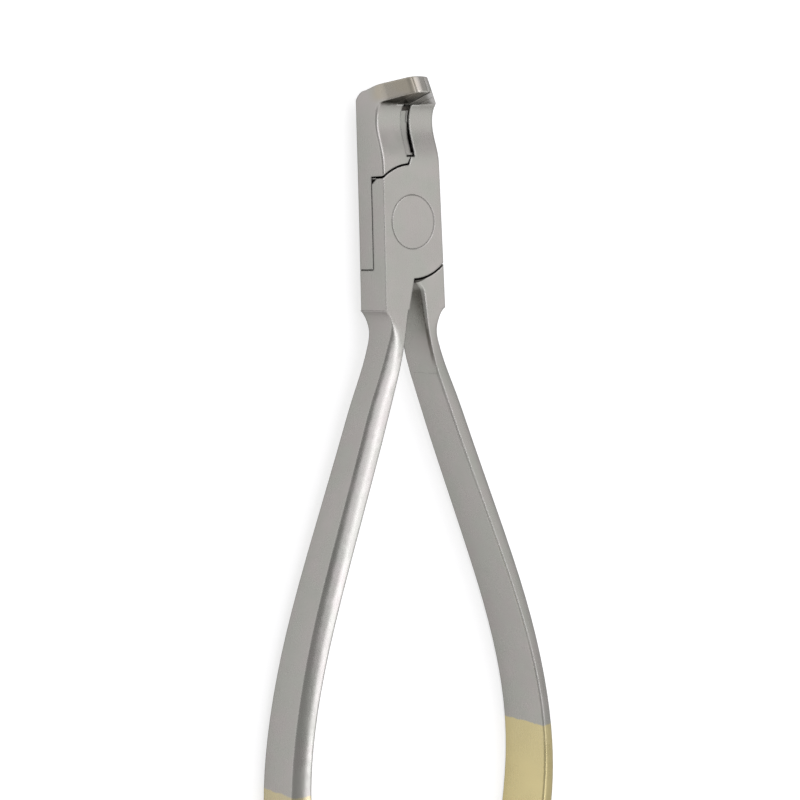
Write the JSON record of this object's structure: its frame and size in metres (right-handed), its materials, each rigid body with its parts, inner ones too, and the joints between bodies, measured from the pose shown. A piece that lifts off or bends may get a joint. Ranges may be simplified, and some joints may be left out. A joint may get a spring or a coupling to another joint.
{
  "type": "orthodontic distal end cutter pliers",
  "caption": "Crossed-lever pliers with short hooked jaws that cut an orthodontic wire across its end and hold the cut piece.",
  "frame": {"origin": "on the joint's axis, at the flat back face of the head", "axes": "+Y along the tool from the joint towards the jaws, +Z along the joint's axis out of the front, +X to the right as seen from the front"},
  "size_m": [0.0542, 0.1287, 0.0133],
  "materials": {
    "lever_steel": "satin, with gold-coloured plating on the handle ends",
    "rivet_steel": "satin, ground flush",
    "insert_steel": "ground and polished",
    "holder_steel": "satin"
  },
  "bodies": {
    "rear": {"rear_lever": "lever_steel", "joint_rivet": "rivet_steel", "left_cutting_insert": "insert_steel", "holder_leaf": "holder_steel", "holder_pad": "holder_steel", "holder_rivet": "holder_steel"},
    "front": {"front_lever": "lever_steel", "right_cutting_insert": "insert_steel"}
  },
  "joints": [
    {"name": "lever_pivot", "type": "hinge", "parent": "rear", "child": "front", "pos_m": [0, 0, 0], "axis": [0, 0, -1], "range_deg": [0, 40]}
  ]
}
